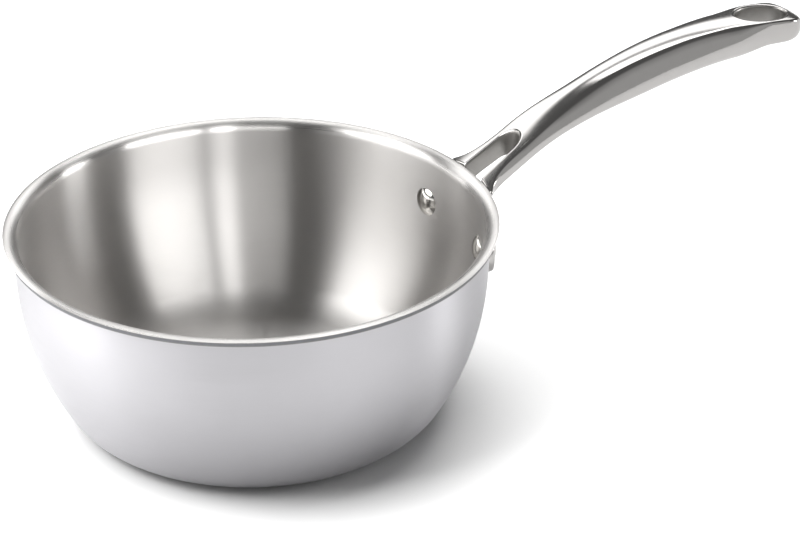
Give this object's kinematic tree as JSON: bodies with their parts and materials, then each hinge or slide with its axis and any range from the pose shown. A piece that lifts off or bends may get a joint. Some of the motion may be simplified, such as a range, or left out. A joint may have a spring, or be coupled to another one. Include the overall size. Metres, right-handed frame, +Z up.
{
  "type": "saucier pan",
  "caption": "Round-bellied clad saucier with a flared pouring lip and a long arched cast handle, slotted at the bowl and pierced by an oval hanging eye.",
  "frame": {"origin": "centre of the base underside, on the table", "axes": "+Z up out of the bowl, +X along the handle, +Y to the right of a cook who holds the handle and looks at the bowl"},
  "size_m": [0.3683, 0.2058, 0.1359],
  "materials": {
    "outer_steel": "satin, brushed round the bowl",
    "core_aluminium": "rolled, shows only at the lip's cut edge",
    "cooking_steel": "fine brushed, brighter than the outside",
    "polished_steel": "polished stainless casting",
    "rivet_steel": "polished domed heads"
  },
  "bodies": {
    "root": {"outer_skin": "outer_steel", "aluminium_core": "core_aluminium", "inner_skin": "cooking_steel", "handle": "polished_steel", "rivet_left": "rivet_steel", "rivet_right": "rivet_steel"}
  },
  "joints": []
}
